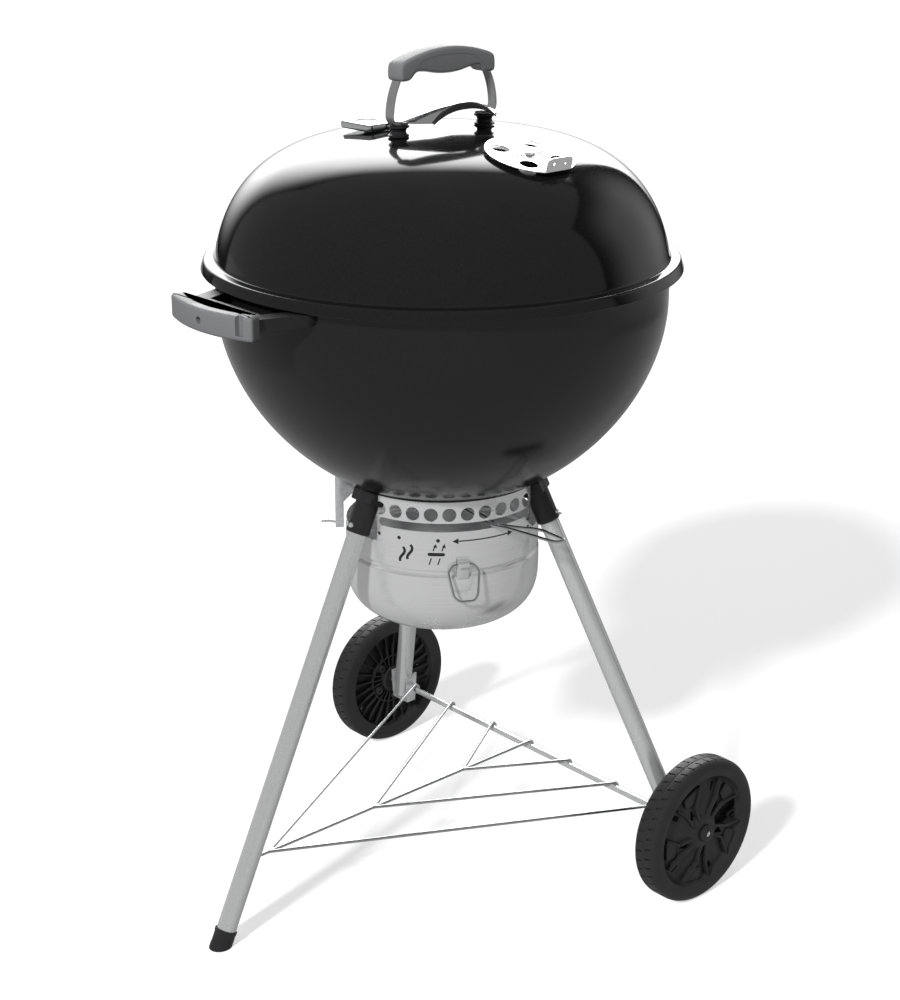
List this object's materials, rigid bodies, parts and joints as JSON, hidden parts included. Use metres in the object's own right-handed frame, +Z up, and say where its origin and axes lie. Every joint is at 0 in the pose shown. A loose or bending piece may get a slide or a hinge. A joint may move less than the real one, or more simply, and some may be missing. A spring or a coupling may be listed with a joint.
{
  "type": "kettle charcoal grill",
  "caption": "Round kettle grill on a wheeled tripod, with a lift-off domed lid, turning top vent, side handle, ash catcher with bucket and cleaning lever, and a wire shelf.",
  "frame": {"origin": "on the floor, under the middle of the object's box", "axes": "+Z up, -X towards the leg without a wheel and the side handle, +X towards the axle, -Y towards the top vent and the cleaning lever"},
  "size_m": [0.6958, 0.6816, 1.097],
  "materials": {
    "enamel": "gloss black porcelain enamel on steel",
    "grey_nylon": "mid-grey glass-filled nylon with a fine moulded grain",
    "black_plastic": "satin black moulded plastic",
    "wheel_plastic": "black moulded plastic, satin, with a moulded tread",
    "aluminium": "brushed and clear-coated aluminium sheet",
    "bright_chrome": "polished plated steel",
    "tube_steel": "satin plated steel tube and strip",
    "plated_wire": "bright plated steel wire",
    "fasteners": "plated steel fasteners",
    "dark_steel": "heat-proof dark coated steel",
    "gauge_glass": "clear dial glass in a steel rim"
  },
  "bodies": {
    "kettle": {"bowl_shell": "enamel", "side_handle_grip": "grey_nylon", "side_handle_bracket": "black_plastic", "side_handle_shield": "dark_steel", "side_handle_screw": "fasteners", "grate_tab_1": "tube_steel", "grate_tab_2": "tube_steel", "grate_tab_3": "tube_steel", "leg_front": "tube_steel", "leg_socket_front": "black_plastic", "leg_left": "tube_steel", "leg_socket_left": "black_plastic", "leg_right": "tube_steel", "leg_socket_right": "black_plastic", "foot_cap": "black_plastic", "leg_end_plates_right": "tube_steel", "leg_end_plates_left": "tube_steel", "hub_cap_right": "black_plastic", "hub_cap_left": "black_plastic", "axle": "plated_wire", "wire_shelf": "plated_wire", "ash_catcher_ring": "aluminium", "catcher_bracket_front": "aluminium", "catcher_bracket_rear": "aluminium"},
    "lid": {"lid_shell": "enamel", "damper_rivet": "fasteners", "lid_handle_grip": "grey_nylon", "lid_heat_shield": "bright_chrome", "thermometer_bezel": "bright_chrome", "thermometer_gauge": "gauge_glass", "lid_hook": "plated_wire", "lid_handle_strap_front": "tube_steel", "lid_handle_spacer_front": "black_plastic", "lid_handle_screw_front": "fasteners", "lid_handle_strap_rear": "tube_steel", "lid_handle_spacer_rear": "black_plastic", "lid_handle_screw_rear": "fasteners"},
    "damper": {"lid_damper": "aluminium"},
    "cooking_grate": {"cooking_grate": "plated_wire"},
    "charcoal_grate": {"charcoal_grate": "dark_steel"},
    "cleaner": {"cleaning_blades": "tube_steel", "cleaning_shaft": "tube_steel", "cleaning_lever": "plated_wire"},
    "bucket": {"ash_bucket": "aluminium", "bail_clip": "tube_steel"},
    "bail": {"bucket_bail": "plated_wire"},
    "wheel_left": {"wheel_left": "wheel_plastic"},
    "wheel_right": {"wheel_right": "wheel_plastic"},
    "button_front": {"leg_button_front": "fasteners"},
    "button_left": {"leg_button_left": "fasteners"},
    "button_right": {"leg_button_right": "fasteners"}
  },
  "joints": [
    {"name": "lid_lift", "type": "slide", "parent": "kettle", "child": "lid", "axis": [0, 0, 1], "range_m": [0, 0.25]},
    {"name": "damper_turn", "type": "hinge", "parent": "lid", "child": "damper", "pos_m": [0.04788, -0.153, 0.9849], "axis": [0, -0.2393, 0.9709], "range_deg": [-45, 45]},
    {"name": "cooking_grate_lift", "type": "slide", "parent": "kettle", "child": "cooking_grate", "axis": [0, 0, 1], "range_m": [0, 0.04]},
    {"name": "charcoal_grate_lift", "type": "slide", "parent": "kettle", "child": "charcoal_grate", "axis": [0, 0, 1], "range_m": [0, 0.1]},
    {"name": "cleaning_turn", "type": "hinge", "parent": "kettle", "child": "cleaner", "pos_m": [0.04788, 0, 0.5245], "axis": [0, 0, 1], "range_deg": [-62, 21]},
    {"name": "bucket_release", "type": "slide", "parent": "kettle", "child": "bucket", "axis": [0, 0, -1], "range_m": [0, 0.15]},
    {"name": "bail_swing", "type": "hinge", "parent": "bucket", "child": "bail", "pos_m": [-0.01772, -0.11362, 0.477], "axis": [-0.866, 0.5, 0], "range_deg": [0, 75]},
    {"name": "wheel_left_spin", "type": "hinge", "parent": "kettle", "child": "wheel_left", "pos_m": [0.21488, 0.315, 0.1], "axis": [0, 1, 0], "continuous": true},
    {"name": "wheel_right_spin", "type": "hinge", "parent": "kettle", "child": "wheel_right", "pos_m": [0.21488, -0.315, 0.1], "axis": [0, 1, 0], "continuous": true},
    {"name": "button_front_press", "type": "slide", "parent": "kettle", "child": "button_front", "axis": [0.9059, 0, -0.4234], "range_m": [0, 0.003], "stiffness_N_per_m": 900},
    {"name": "button_left_press", "type": "slide", "parent": "kettle", "child": "button_left", "axis": [-0.4518, -0.7952, -0.4045], "range_m": [0, 0.003], "stiffness_N_per_m": 900},
    {"name": "button_right_press", "type": "slide", "parent": "kettle", "child": "button_right", "axis": [-0.4518, 0.7952, -0.4045], "range_m": [0, 0.003], "stiffness_N_per_m": 900}
  ]
}
